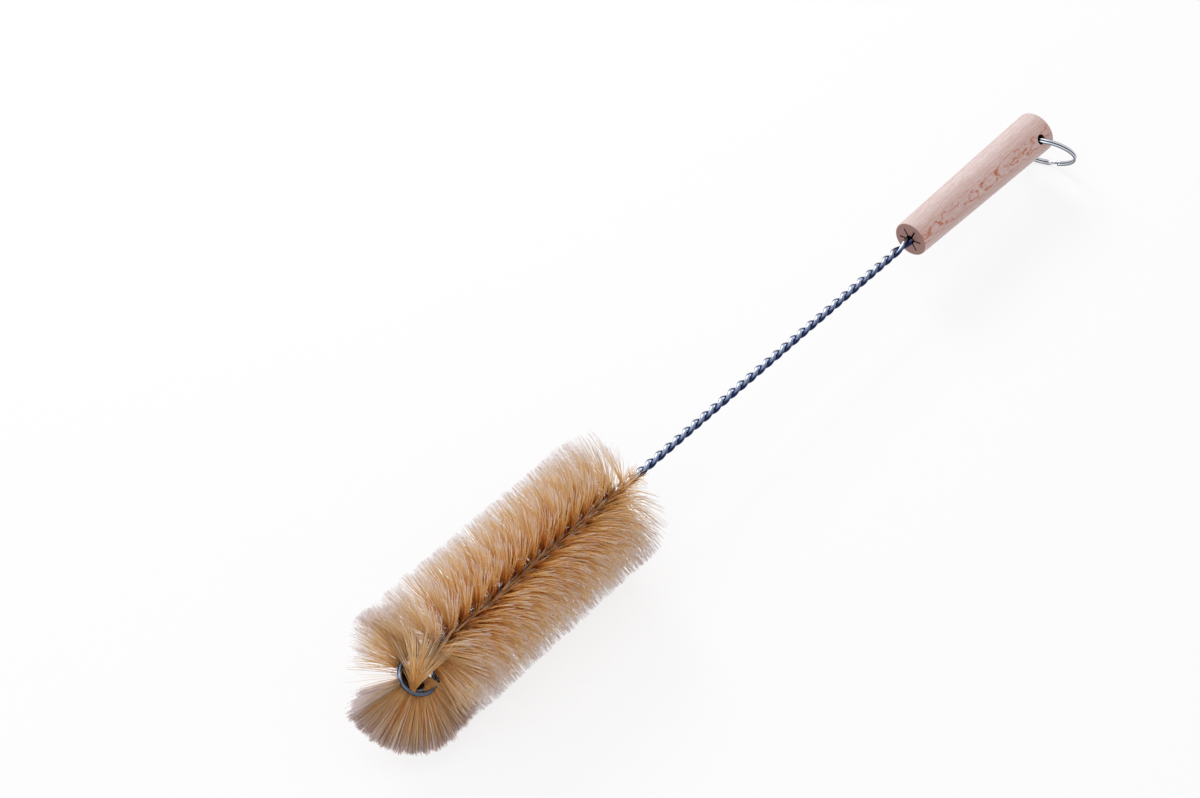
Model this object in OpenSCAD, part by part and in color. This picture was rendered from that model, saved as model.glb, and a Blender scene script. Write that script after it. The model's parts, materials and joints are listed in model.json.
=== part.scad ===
// Bottle brush. Natural bristles are held in a doubled and twisted wire. The wire
// ends in a loop that carries the tip's fan, and its other end is driven into a
// turned wooden handle with a split ring. The brush lies on its bristles and its ring.
//
// Each piece is drawn in the brush's own frame, X from the tip to the handle along
// the stem, and laid down by lay(). Angles round the stem are counted from its upper
// side towards -Y.

/* [Handle] */
// Length of the handle
handle_length = 100; // [80:1:130]
// Diameter of the handle where the stem enters
handle_near_d = 17.3; // [16:0.1:20]
// Diameter of the handle's far end
handle_far_d = 20.7; // [18:0.1:21]
// Radius of the handle's rounded edges
handle_edge_r = 0.9; // [0.4:0.1:1.5]
// Depth of the blind hole that the stem is driven into
socket_depth = 44; // [30:1:60]
// Number of star-shaped slits pressed into the near face
slit_count = 6; // [0:1:8]
// Distance from the centre to the end of a slit
slit_reach = 6; // [4:0.1:7]
// Width of a slit
slit_w = 0.8; // [0.4:0.1:1.2]
// Depth of a slit
slit_depth = 2.5; // [1:0.1:5]

/* [Hanging ring] */
// Diameter of the cross hole for the ring
ring_hole_d = 5; // [4.9:0.1:6]
// Distance from the hole's centre to the far end of the handle
ring_hole_inset = 8.6; // [7:0.1:12]
// Angle of the hole round the handle
ring_hole_angle = 56; // [0:1:90]
// Radius of the ring's centre line
ring_r = 16; // [15.8:0.1:18]
// Share by which the ring is flattened where it passes through the hole
ring_flat = 0.1; // [0.08:0.01:0.15]
// Diameter of the ring's wire
ring_wire_d = 1.25; // [1:0.05:1.3]
// Angle of the ring about its hole, from straight along the handle
ring_droop = 53; // [40:1:60]

/* [Wire] */
// Diameter of the wire
wire_d = 2.1; // [1.8:0.1:2.3]
// Length of bare stem between the bristles and the handle
stem_length = 208; // [100:1:260]
// Length of one full turn of the twist in the bare stem
stem_pitch = 12.4; // [11:0.1:15]
// Length of one full turn of the twist among the bristles
head_pitch = 16.6; // [14:0.1:20]
// Length of one full turn of the twist inside the handle
socket_pitch = 20; // [14:0.5:24]

/* [Bristles] */
// Diameter of the bristle head
head_d = 62; // [50:1:64]
// Length of the head along the stem, from the middle of the tip loop
head_length = 126; // [90:1:180]
// Angle round the stem at which the bristles are parted
part_angle = 30; // [0:1:60]
// Angle that the bristles leave open on each side of the parting
part_half = 14; // [12:1:36]
// Distance from the stem's line to the bottom of the parting
part_bottom = 5; // [4:0.5:12]
// Depth of the spiral grooves between the rows of tips
groove_depth = 2.2; // [0:0.1:5]
// Unevenness of the trimmed tips
tip_rag = 0.8; // [0:0.1:1.5]
// Radius of the tip loop's centre line
loop_r = 7.7; // [6.5:0.1:9]
// Length of the fan's bristles beyond the loop
fan_length = 23.5; // [20:0.5:30]
// Angle by which the fan leans back from the loop's plane
fan_lean = 28; // [10:1:35]
// Angle by which its last bristles lean away from it
fan_lean_last = 16; // [10:1:35]

/* [Rest] */
// Slope of the stem, down towards the handle, as the brush lies
lie_tilt = 1.3; // [1.2:0.05:1.4]

/* [Hidden] */
$fn = 64;
eps = 0.01;

// stations along the brush, from the middle of the tip loop
handle_x = head_length + stem_length;
handle_end_x = handle_x + handle_length;
ring_hole_x = handle_end_x - ring_hole_inset;
straight_x = 9;                     // the straight, twisted wire begins here
twist_ease = 6;                     // the twist changes its pitch this far past the bristles
socket_ease = 12;                   // and again this far before the handle
tighten_x = head_length + twist_ease;
loosen_x = handle_x - socket_ease;
wire_end_x = handle_x + socket_depth - 3;

slit_first = 18;                    // angle of the first slit, round the stem

// the doubled wire
strand_gap = 0.06;                  // between the two strands of the stem
pair_r = (wire_d + strand_gap) / 2; // from the pair's middle to a strand's middle
rope_r = pair_r + wire_d / 2;
socket_d = 2 * rope_r + 0.3;
wire_sides = 6;
steps_per_turn = 9;

// the tip loop lies in a plane turned round the stem
loop_angle = 28.9;                  // of the plane's normal, round the stem
loop_offset = 3.1;                  // of the loop's middle from the stem's line
loop_from = -90;                    // angles along the loop, from the tip's direction
loop_to = 112;
loop_tail = 3.5;                    // straight end of the pair
loop_steps = 15;
eye_r = 1.5;                        // of the bend where the wire turns back

// the ring: the wire makes two turns side by side
ring_layer = ring_wire_d + 0.05;    // distance between the two turns
ring_step_at = 201;                 // where the wire steps from one turn to the other
ring_step_half = 9;                 // half the length of that step, in degrees
ring_back = 1.5;                    // how far the ring's near side lies behind the hole's axis
ring_segments = 40;
ring_sides = 8;

// the head's solid
head_sides = 30;
head_steps = 62;
bore_r = rope_r + 0.35;
head_tip_near = -8;                 // where the tips begin, on the side away from the fan
head_tip_far = 9;                   // and on the fan's side
head_hollow_x = 12;                 // bottom of the hollow behind the tip loop
head_end_near = 1;                  // where the tips end past head_length, away from the fan
head_end_far = -8;                  // and on the fan's side
head_end_x = head_length + 4;       // where the last bristles leave the wire
head_edge = 3.5;                    // fall of the tips at the two rims

// the fan's solid
fan_from = -18;
fan_to = 100;
fan_ease_from = 60;                 // where round the loop the lean starts to ease
fan_steps = 26;
fan_root = loop_r + rope_r + 0.3;
fan_rag = 1.6;                      // unevenness of the fan's tips
fan_thick = 8.8;                    // thickness of the fan near its tips
// outline across the fan: share of its length, share of half its thickness
fan_outline = [[0, -0.2], [0.35, -0.5], [0.8, -1], [1, -0.7], [1, 0.7], [0.8, 1], [0.35, 0.5], [0, 0.2]];
tuft_length = 15.5;
tuft_half_w = 5.5;
tuft_half_t = 1.3;
// outline along the tuft: share of its length, of its half width and of its half thickness
tuft_outline = [[0, 0.16, 0.46], [0.45, 0.55, 0.7], [0.9, 1, 1], [1, 0.9, 0.7]];
tuft_foot = [-5.2, 5, 1.2];         // along the stem, across it, and above the loop's plane
tuft_way = [0.79, -0.61, 0.3];      // the way it leans, in the same three directions

// how the brush lies: the ring's lowest point and the bristles are on the floor
up = [-sin(lie_tilt), 0, cos(lie_tilt)];
ring_plane_up = [up * ring_out(), up * ring_hole_dir()];
ring_normal_up = sqrt(1 - pow(norm(ring_plane_up), 2));
ring_low = (ring_r * (1 - ring_flat) - ring_back) * ring_plane_up[0] - ring_r * norm(ring_plane_up)
    - ring_layer / 2 * ring_normal_up - ring_wire_d / 2;
ring_hole_z = -ring_low;
axis_z = ring_hole_z + ring_hole_x * sin(lie_tilt);
// ends of the whole brush along X, for an origin in the middle of its base
ring_length = ring_r * (2 - ring_flat) - ring_back;
level = [cos(lie_tilt), 0, sin(lie_tilt)];
ring_bend = [ring_hole_x, 0, 0] + ring_length * ring_out()
    + ring_layer / 2 * cross(ring_hole_dir(), ring_out());
far_x = ring_bend * level + ring_wire_d / 2;
tip_x = min([for (i = [0 : fan_steps], p = fan_row(i)) p * level]);
middle_x = (far_x + tip_x) / 2;

function round_dir(a) = [0, -sin(a), cos(a)];
function ring_hole_dir() = round_dir(ring_hole_angle);
function ring_across() = cross(ring_hole_dir(), [1, 0, 0]);
function ring_out() = [cos(ring_droop), 0, 0] - sin(ring_droop) * ring_across();
function unit(v) = v / norm(v);
// a steady, uneven number from 0 to 1 for the place (i, j)
function uneven(i, j) = rands(0, 1, 1, 17 * i + 101 * j + 3)[0];

// turns of the twist from the tip up to station x
function turns_head(x) = (min(x, tighten_x) - straight_x) / head_pitch;
function turns_stem(x) = (min(max(x, tighten_x), loosen_x) - tighten_x) / stem_pitch;
function turns_socket(x) = (max(x, loosen_x) - loosen_x) / socket_pitch;
// angle round the stem of the first strand at station x, a left-hand lay
function twist(x) = loop_angle - 360 * (turns_head(x) + turns_stem(x) + turns_socket(x));

// tips and roots in the loop's plane: p along the stem, q across it
function loop_across() = round_dir(loop_angle + 90);
function loop_point(p, q) = [p, 0, 0] + q * loop_across();
function loop_arc(a) = [-loop_r * cos(a), loop_offset + loop_r * sin(a)];
function lead_in(p) = [p, (loop_offset - loop_r) * (1 + cos(180 * p / straight_x)) / 2];
function side_by_side(a) = 75 * (a - loop_from) / (loop_to - loop_from);

// a station of the doubled wire: the pair's middle, and the way to the first strand
function straight_stations() = [
    for (x = wire_end_x, i = 0; x > straight_x; x = x - step_at(x), i = i + 1)
        [[x, 0, 0], round_dir(twist(x))]
];
function step_at(x) =
    (x > loosen_x ? socket_pitch : x > tighten_x ? stem_pitch : head_pitch) / steps_per_turn;
function loop_stations() = [
    for (p = [straight_x : -straight_x / 4 : straight_x / 4])
        let (at = lead_in(p)) [loop_point(at[0], at[1]), round_dir(loop_angle)],
    for (i = [0 : loop_steps])
        let (a = loop_from + i / loop_steps * (loop_to - loop_from), at = loop_arc(a), s = side_by_side(a))
            [loop_point(at[0], at[1]),
             cos(s) * round_dir(loop_angle) + sin(s) * loop_point(-cos(a), sin(a))]
];
function tail_dir() = loop_point(sin(loop_to), cos(loop_to));
function tail_stations(last) = [
    for (k = [1, 2]) [last[0] + k / 2 * loop_tail * tail_dir(), last[1]]
];
function strand(stations, side) = [for (s = stations) [s[0] + side * pair_r * s[1], side * s[1]]];
// the eye: a bend of eye_r that the strands open out to
function eye(last) = let (mid = last[0] + eye_r * tail_dir()) [
    for (a = [0 : 30 : 180])
        [mid + eye_r * (cos(a) * last[1] + sin(a) * tail_dir()), cos(a) * last[1] + sin(a) * tail_dir()]
];
function reversed(list) = [for (i = [len(list) - 1 : -1 : 0]) list[i]];
function wire_path() = let (
    body = concat(straight_stations(), loop_stations()),
    all = concat(body, tail_stations(body[len(body) - 1]))
) concat(strand(all, 1), eye(all[len(all) - 1]), strand(reversed(all), -1));

// one ring of points round a path's point i, turned with the path's own side direction
function section(path, i, r, sides) = let (
    a = path[max(i - 1, 0)][0],
    b = path[min(i + 1, len(path) - 1)][0],
    along = unit(b - a),
    out = unit(path[i][1] - (path[i][1] * along) * along),
    over = cross(along, out)
) [for (k = [0 : sides - 1]) path[i][0] + r * (cos(360 * k / sides) * out + sin(360 * k / sides) * over)];

// a tube along a path of [point, side direction]
module tube(path, r, sides) {
    n = len(path);
    points = [for (i = [0 : n - 1]) each section(path, i, r, sides)];
    walls = [
        for (i = [0 : n - 2], k = [0 : sides - 1])
            let (a = i * sides + k, b = i * sides + (k + 1) % sides)
                each [[a, a + sides, b], [b, a + sides, b + sides]]
    ];
    first = [for (k = [0 : sides - 1]) k];
    last = [for (k = [sides - 1 : -1 : 0]) (n - 1) * sides + k];
    polyhedron(points, concat(walls, [first, last]));
}

// a ring-shaped skin over rows of points, each row a closed outline, the last row
// joined to the first
module closed_skin(rows) {
    n = len(rows);
    m = len(rows[0]);
    points = [for (row = rows) each row];
    faces = [
        for (j = [0 : n - 1], i = [0 : m - 1])
            let (a = j * m + i, b = j * m + (i + 1) % m, next = (j + 1) % n * m, c = next + i, d = next + (i + 1) % m)
                each [[a, b, c], [b, d, c]]
    ];
    polyhedron(points, faces);
}

// lays the brush down with its lowest points at z = 0 and its middle over the origin
module lay() {
    translate([-middle_x, 0, axis_z])
        rotate([0, lie_tilt, 0])
            children();
}

// turned handle, with the stem's socket, the star slits and the ring's cross hole
module handle() {
    color("burlywood")
        lay()
            translate([handle_x, 0, 0])
                difference() {
                    turned_handle();
                    translate([-eps, 0, 0])
                        rotate([0, 90, 0])
                            cylinder(h = socket_depth + eps, d = socket_d);
                    translate([handle_length - ring_hole_inset, 0, 0])
                        rotate([ring_hole_angle, 0, 0])
                            cylinder(h = 2 * handle_far_d, d = ring_hole_d, center = true);
                    star_slits();
                }
}
// straight taper between two quarter-round edges
module turned_handle() {
    near_r = handle_near_d / 2;
    far_r = handle_far_d / 2;
    e = handle_edge_r;
    rotate([90, 0, 90])
        rotate_extrude()
            difference() {
                handle_outline(near_r, far_r, e);
                translate([-far_r, -eps])
                    square([far_r, handle_length + 2 * eps]);
            }
}
module handle_outline(near_r, far_r, e) {
    polygon(concat(
        [[0, 0]],
        [for (a = [-90 : 15 : 0]) [near_r - e + e * cos(a), e + e * sin(a)]],
        [for (a = [0 : 15 : 90]) [far_r - e + e * cos(a), handle_length - e + e * sin(a)]],
        [[0, handle_length]]
    ));
}
module star_slits() {
    for (i = [0 : slit_count - 1])
        rotate([slit_first + 360 / slit_count * i, 0, 0])
            translate([-eps, -slit_w / 2, 0])
                cube([slit_depth, slit_w, slit_reach]);
}

// split ring: two turns of round wire, with the step where they change places
function ring_point(a) = let (k = 1 - ring_flat * pow((1 + cos(a)) / 2, 2))
    [ring_hole_x, 0, 0]
        + (ring_r * (1 - ring_flat - cos(a) * k) - ring_back) * ring_out()
        + ring_r * sin(a) * ring_hole_dir();
// -1 on the first turn, 1 on the second, easing across the step
function ring_side(a) = let (t = (a - ring_step_at - 360) / ring_step_half)
    t < -1 ? -1 : t > 1 ? 1 : sin(90 * t);
function ring_path() = let (
    from = ring_step_at + ring_step_half,
    to = ring_step_at + 2 * 360 - ring_step_half,
    normal = cross(ring_out(), ring_hole_dir()),
    n = 2 * ring_segments
) [
    for (i = [0 : n])
        let (a = from + (to - from) * i / n)
            [ring_point(a) + ring_side(a) * ring_layer / 2 * normal, normal]
];
module hanging_ring() {
    color("silver")
        lay()
            tube(ring_path(), ring_wire_d / 2, ring_sides);
}

// one wire, folded double at the tip's eye, looped and twisted up to the handle
module twisted_wire() {
    color("lightsteelblue")
        lay()
            tube(wire_path(), wire_d / 2, wire_sides);
}

// bristle head: rows of tips in a double spiral, parted above and flat where they rest
function parted_r(a) = let (away = abs((a - part_angle + 180) % 360 - 180))
    away < part_half ? part_bottom + (head_d / 2 - part_bottom) * pow(away / part_half, 1.5) : head_d / 2;
function floor_r(x, a) = let (height = axis_z - x * sin(lie_tilt), fall = -cos(a) * cos(lie_tilt))
    fall > 0.01 ? height / fall : head_d;
// a station that runs from near, on the side away from the fan, to far, on the fan's side
function slanted(near, far, a) = (near + far) / 2 + (near - far) / 2 * cos(a - loop_angle + 90);
function head_row(j) = let (
    a = part_angle + 360 * j / head_sides,
    dir = round_dir(a),
    full = (parted_r(a) - bore_r) / (head_d / 2 - bore_r),
    x0 = head_hollow_x + full * (slanted(head_tip_near, head_tip_far, a) - head_hollow_x),
    x1 = head_end_x + full * (head_length + slanted(head_end_near, head_end_far, a) - head_end_x)
) concat(
    [[head_hollow_x, 0, 0] + bore_r * dir],
    [
        for (i = [0 : head_steps])
            let (
                x = x0 + (x1 - x0) * i / head_steps,
                groove = groove_depth * (1 + cos(2 * (a - twist(x)))) / 2,
                fall = (i == 0 || i == head_steps) ? head_edge : groove + tip_rag * uneven(i, j)
            )
                [x, 0, 0] + min(floor_r(x, a), parted_r(a) - full * fall) * dir
    ],
    [[head_end_x, 0, 0] + bore_r * dir]
);
module bristle_head() {
    color("tan")
        lay()
            closed_skin([for (j = [0 : head_sides - 1]) head_row(j)]);
}

// fan of bristles round the tip loop, thin at the wire and thicker at its tips
function fan_tilt(a) = let (ease = max(0, a - fan_ease_from) / (fan_to - fan_ease_from))
    fan_lean + (fan_lean_last - fan_lean) * ease;
function fan_out(a) =
    cos(fan_tilt(a)) * loop_point(-cos(a), sin(a)) - sin(fan_tilt(a)) * round_dir(loop_angle);
function fan_over(a) =
    sin(fan_tilt(a)) * loop_point(-cos(a), sin(a)) + cos(fan_tilt(a)) * round_dir(loop_angle);
function fan_row(i) = let (
    a = fan_from + (fan_to - fan_from) * i / fan_steps,
    root = loop_point(0, loop_offset) + fan_root * loop_point(-cos(a), sin(a)),
    reach = fan_length - fan_rag * (i % 2) * uneven(i, 7)
) [for (o = fan_outline) root + o[0] * reach * fan_out(a) + o[1] * fan_thick / 2 * fan_over(a)];
module tip_fan() {
    color("tan")
        lay() {
            open_skin([for (i = [0 : fan_steps]) fan_row(i)]);
            tip_tuft();
        }
}
// a skin over rows of points that ends in a flat face at the first and the last row
module open_skin(rows) {
    n = len(rows);
    m = len(rows[0]);
    points = [for (row = rows) each row];
    walls = [
        for (j = [0 : n - 2], i = [0 : m - 1])
            let (a = j * m + i, b = j * m + (i + 1) % m) each [[a, b, a + m], [b, b + m, a + m]]
    ];
    first = [for (i = [m - 1 : -1 : 0]) i];
    last = [for (i = [0 : m - 1]) (n - 1) * m + i];
    polyhedron(points, concat(walls, [first, last]));
}
// the small tuft that stands up inside the loop and spreads back over it
module tip_tuft() {
    normal = round_dir(loop_angle);
    foot = loop_point(tuft_foot[0], tuft_foot[1]) + tuft_foot[2] * normal;
    lean = unit(loop_point(tuft_way[0], tuft_way[1]) + tuft_way[2] * normal);
    side = unit(cross(normal, lean));
    over = cross(lean, side);
    corners = [[-1, 1], [1, 1], [1, -1], [-1, -1]];
    open_skin([
        for (o = tuft_outline) [
            for (c = corners)
                foot + o[0] * tuft_length * lean
                    + c[0] * o[1] * tuft_half_w * side + c[1] * o[2] * tuft_half_t * over
        ]
    ]);
}

handle();
hanging_ring();
twisted_wire();
bristle_head();
tip_fan();
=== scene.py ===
"""Looks of a bottle brush: natural bristles in a twisted wire, a wooden handle and a split ring.

Sizes are in millimetres in the brush's own frame, X from the tip to the handle along the
stem, and place() turns them into metres in the part's frame. Angles round the stem are in
degrees from its upper side towards -Y, as in the part's source.
"""

import json
import math

import bpy
import numpy as np
from mathutils import Matrix, Vector, kdtree


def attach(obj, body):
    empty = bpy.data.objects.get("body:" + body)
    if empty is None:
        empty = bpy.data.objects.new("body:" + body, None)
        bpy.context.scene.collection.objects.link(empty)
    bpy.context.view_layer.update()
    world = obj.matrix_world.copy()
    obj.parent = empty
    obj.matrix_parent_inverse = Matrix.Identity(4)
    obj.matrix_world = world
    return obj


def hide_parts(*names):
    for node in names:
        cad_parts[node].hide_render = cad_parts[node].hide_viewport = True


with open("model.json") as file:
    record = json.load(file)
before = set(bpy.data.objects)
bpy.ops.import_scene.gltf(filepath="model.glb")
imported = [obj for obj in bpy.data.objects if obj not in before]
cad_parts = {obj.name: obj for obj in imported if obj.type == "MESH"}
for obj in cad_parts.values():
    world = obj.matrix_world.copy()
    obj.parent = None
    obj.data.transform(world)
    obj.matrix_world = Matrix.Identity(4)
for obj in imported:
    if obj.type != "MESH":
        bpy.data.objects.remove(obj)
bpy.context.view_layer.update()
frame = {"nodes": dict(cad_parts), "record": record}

MM = 0.001

# Stations along the brush, from the middle of the tip loop.
HEAD_LENGTH = 126.0
STEM_LENGTH = 208.0
HANDLE_LENGTH = 100.0
HANDLE_X = HEAD_LENGTH + STEM_LENGTH
HANDLE_END_X = HANDLE_X + HANDLE_LENGTH
SOCKET_DEPTH = 44.0
STRAIGHT_X = 9.0
TIGHTEN_X = HEAD_LENGTH + 6.0
LOOSEN_X = HANDLE_X - 12.0
WIRE_END_X = HANDLE_X + SOCKET_DEPTH - 3.0

# The doubled wire and its twist: its radius, by how much its strands stand clear of each other,
# the side of it that is painted dark as shade, opposite a painted highlight, how much painted
# shade darkens and dulls it among the bristles and how grey it is in the loop, and the length
# of one turn in the head, in the stem and in the handle.
WIRE_R = 1.05
WIRE_APART = 0.01
WIRE_SIDES = 14
WIRE_SHADE_ANGLE = 130.0
WIRE_SHADE_IN_HEAD = 0.8
LOOP_GREY = 0.7
HEAD_PITCH = 16.6
STEM_PITCH = 12.4
SOCKET_PITCH = 20.0

# The tip loop, in a plane whose normal points this way round the stem: how far its middle lies
# from the stem's line, its radius, the angles at which it begins and ends, how far the pair
# turns over on the way, and the straight end and the eye in which the wire turns back.
LOOP_ANGLE = 28.9
LOOP_OFFSET = 3.1
LOOP_R = 7.7
LOOP_FROM = -90.0
LOOP_TO = 112.0
LOOP_TURN = 75.0
LOOP_TAIL = 3.5
EYE_R = 1.5

# Steps along the wire in one turn of its twist, between the stem and the loop, round the loop,
# along its straight end and round the eye, and steps along the split ring.
TWIST_STEPS = 30
LEAD_STEPS = 18
LOOP_STEPS = 60
TAIL_STEPS = 4
EYE_STEPS = 14
RING_STEPS = 230

# The wood: its growth rings, the side of the handle on which they lie flat, the reach of its
# slits from the axis, and its radius at the stem and at the far end.
WOOD_RING = 0.7
WOOD_WARP = 3.0
WOOD_LOOPS_ANGLE = 52.0
SLIT_REACH = 6.3
HANDLE_R = (8.65, 10.35)

# The split ring: its radius, how much flatter it is and how far back it sits in its hole, its
# droop, the hole's angle round the stem and its place from the handle's far end, the wire's
# radius, and the place and half length of the step where the ring's two turns change places.
RING_R = 16.0
RING_FLAT = 0.1
RING_BACK = 1.5
RING_DROOP = 53.0
RING_ANGLE = 56.0
RING_INSET = 8.6
RING_WIRE_R = 0.625
HOLE_X = HANDLE_END_X - RING_INSET
HOLE_R = 2.5
RING_STEP_AT = 201.0
RING_STEP_HALF = 9.0

# How many bristles each group has.
HEAD_COUNT = 10500
FAN_COUNT = 2600
TUFT_COUNT = 200
GAP_COUNT = 22
HOLLOW_COUNT = 500
LOOP_START_COUNT = 420
SHEATH_COUNT = 130
SPINE_COUNT = 420
EYE_COUNT = 260
CORE_COUNT = 1500
HEAD_PIECES = 6
SEED = 7

# A bristle's radius at places along it, its sides, how far from the stem's middle it is
# clamped, the share of light that passes through it, and how near the floor it may come, in
# metres.
BRISTLE_AT = (0.0, 0.25, 0.55, 0.82, 1.0)
BRISTLE_R = (0.12, 0.12, 0.115, 0.1, 0.07)
BRISTLE_SIDES = 3
CLAMP_R = 0.7
BRISTLE_THROUGH = 0.75
FLOOR_GAP = 0.0001

# Bristles stand in small tufts: how many in one, from how far its tips are drawn together, how
# strongly in the head and in the fan, and how much of their tone they share.
PER_TUFT = 4
TUFT_REACH = 1.0
HEAD_PULL = 0.1
FAN_PULL = 0.3
TUFT_TONE = 0.3

# The head's reach from the stem.
HEAD_R = 31.0

# The fan: its reach from the loop's middle, its part of the colour run, the angles along the
# loop between which it stands and those of the strip at its start, painted pale as light,
# the share of its bristles in that strip, its lean at angles along the loop, and from where,
# and over how many degrees, it comes to cover the wire.
FAN_R = 33.0
FAN_RUN = (0.4, 1.0)
FAN_AT = (-9.0, 117.0)
FAN_STRIP_AT = (-19.0, -7.0)
FAN_STRIP_SHARE = 0.1
FAN_LEAN = ((-17.0, -9.0, 60.0, 116.0), (22.0, -26.0, -28.0, -15.0))
FAN_COVER_FROM = 68.0
FAN_COVER_OVER = 25.0

# The tuft inside the loop: the angle along the loop where it is held, and the way it points.
LOOP_TUFT_AT = 28.0
LOOP_TUFT_WAY = math.degrees(math.atan2(-0.61, -0.79))

# The head's bristles are parted along a line that faces the camera. On its upper side, then
# its lower one: how far the nearest tips stand from the line, and how far round the stem the
# others make way. The parting starts some way up the bristles, more or less by these shares.
PART_ANGLE = 30.0
PART_HALF = (17.0, 10.0)
PART_REACH = (75.0, 60.0)
PART_FOOT = 12.0
PART_FOOT_SHARE = (0.5, 1.2)

# How unevenly the head's bristles leave the twist, turn on their way out and lean along it.
ROOT_JITTER = 10.0
TURN_JITTER = 7.0
LEAN_JITTER = 1.9

# The waves round and along the head in which they turn, lean and reach further: the size of
# each, and the lengths of its waves along the head.
TURN_WAVE = (2.5, (31, 17, 11))
LEAN_WAVE = (0.6, (23, 14, 9))
REACH_WAVE = (0.5, (19, 12, 7))

# Where the head's tips begin, on the side away from the fan and on the fan's side, and where
# they end, at angles round the stem.
HEAD_TIP = (-8.0, 9.0)
HEAD_END_AT = (-180.0, -45.0, 0.0, 90.0, 120.0, 180.0)
HEAD_END = (120.0, 127.0, 123.5, 124.0, 117.0, 120.0)
HEAD_ROOTS = (STRAIGHT_X - 2.0, HEAD_LENGTH + 6.0)

# Where the bristles begin to lean out towards the tip, and towards the handle.
TIP_LEAN_X = 34.0
END_LEAN_X = 108.0

# Where on the colour run the bristles start, at stations along the head: paler at its ends.
HEAD_PALE_X = ((0.0, 14.0, 32.0, 96.0, 126.0), (0.65, 0.5, 0.0, 0.0, 0.6))

# How much further the bristles reach on the fan's side, at stations along the head, and how
# much of that they have at angles round the stem.
HEAD_WIDER_X = ((20.0, 110.0), (1.0, -0.5))
HEAD_WIDER_AT = ((40.0, 80.0), (0.0, 1.0))

# How much of their tone the bristles keep at angles from the parting: least on its lower side,
# where this painted shade makes them darker and less pale.
PARTING_SHADE_AT = ((0.0, 6.0, 50.0, 80.0), (1.0, 0.7, 0.7, 1.0))

# Share of the head's bristles that stand at stations along it and at angles round the stem:
# fewest at its ends and on its upper side, most where they are pressed against the floor.
HEAD_DENSE_X = ((0.0, 24.0, 108.0, 132.0), (0.45, 1.0, 1.0, 0.25))
HEAD_DENSE_AT = ((-180.0, -150.0, 50.0, 90.0, 150.0, 180.0), (1.0, 0.75, 0.75, 1.0, 1.0, 1.0))


# ---------------------------------------------------------------- the brush's own frame

def mount(name):
    """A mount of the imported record, by its name."""
    return next(m for m in frame["record"]["mounts"] if m["name"] == name)


STEM_DIR = np.array(mount("handle_end")["axis"], float)
SIDE_DIR = np.array([0.0, 1.0, 0.0])
UP_DIR = np.cross(STEM_DIR, SIDE_DIR)
ORIGIN = np.array(mount("handle_end")["pos_m"], float) - MM * HANDLE_END_X * STEM_DIR


def place(points):
    """Points of the brush's own frame, in metres in the part's frame."""
    p = MM * np.asarray(points, float)
    return ORIGIN + p[..., 0:1] * STEM_DIR + p[..., 1:2] * SIDE_DIR + p[..., 2:3] * UP_DIR


def round_dir(angle):
    """The direction at an angle round the stem."""
    a = np.radians(angle)
    return np.stack([np.zeros_like(a), -np.sin(a), np.cos(a)], -1)


def on_stem(x):
    """Points on the middle of the stem at stations x."""
    return np.stack([x, np.zeros(len(x)), np.zeros(len(x))], -1)


def unit(v):
    """Vectors at length 1."""
    return v / np.linalg.norm(v, axis=-1, keepdims=True)


LOOP_NORMAL = round_dir(LOOP_ANGLE)
LOOP_ACROSS = round_dir(LOOP_ANGLE + 90.0)


def loop_point(p, q, m=0.0):
    """A point in the loop's plane: p along the stem, q across it and m above the plane."""
    p, q, m = np.broadcast_arrays(*(np.asarray(v, float) for v in (p, q, m)))
    along = np.array([1.0, 0.0, 0.0])
    return p[..., None] * along + q[..., None] * LOOP_ACROSS + m[..., None] * LOOP_NORMAL


def loop_out(angle, lean=0.0):
    """The way out from the loop's middle at an angle along it, leaning above its plane."""
    a, b = np.radians(angle), np.radians(lean)
    return loop_point(-np.cos(a) * np.cos(b), np.sin(a) * np.cos(b), np.sin(b))


def wrapped(angle):
    """An angle between -180 and 180 degrees."""
    return (angle + 180) % 360 - 180


def twist(x):
    """Angle round the stem of the first strand at station x, a left-hand lay."""
    x = np.asarray(x, float)
    head = (np.minimum(x, TIGHTEN_X) - STRAIGHT_X) / HEAD_PITCH
    stem = (np.clip(x, TIGHTEN_X, LOOSEN_X) - TIGHTEN_X) / STEM_PITCH
    socket = (np.maximum(x, LOOSEN_X) - LOOSEN_X) / SOCKET_PITCH
    return LOOP_ANGLE - 360.0 * (head + stem + socket)


# ---------------------------------------------------------------- meshes

def new_object(name, verts, faces, material, body, replaced=()):
    """A smooth mesh that rides on a body and stands for CAD nodes."""
    mesh = bpy.data.meshes.new(name)
    mesh.from_pydata(verts, [], faces)
    mesh.polygons.foreach_set("use_smooth", np.ones(len(mesh.polygons), bool))
    mesh.materials.append(material)
    obj = bpy.data.objects.new(name, mesh)
    bpy.context.scene.collection.objects.link(obj)
    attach(obj, body)
    if replaced:
        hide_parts(*replaced)
    return obj


def tube_mesh(path, outs, radius, sides):
    """Rings of points along a path, each turned with the path's own side direction."""
    path, outs = np.asarray(path, float), np.asarray(outs, float)
    along = unit(np.gradient(path, axis=0))
    out = unit(outs - (outs * along).sum(-1, keepdims=True) * along)
    over = np.cross(along, out)
    turn = 2 * math.pi * np.arange(sides) / sides
    rings = path[:, None] + radius * (np.cos(turn)[None, :, None] * out[:, None]
                                      + np.sin(turn)[None, :, None] * over[:, None])
    n = len(path)
    i, k = np.meshgrid(np.arange(n - 1), np.arange(sides), indexing="ij")
    a, b = i * sides + k, i * sides + (k + 1) % sides
    faces = np.stack([a, b, b + sides, a + sides], -1).reshape(-1, 4).tolist()
    faces.append(list(range(sides))[::-1])
    faces.append(list(range((n - 1) * sides, n * sides)))
    return place(rings.reshape(-1, 3)), faces


# ---------------------------------------------------------------- wire and ring

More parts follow.
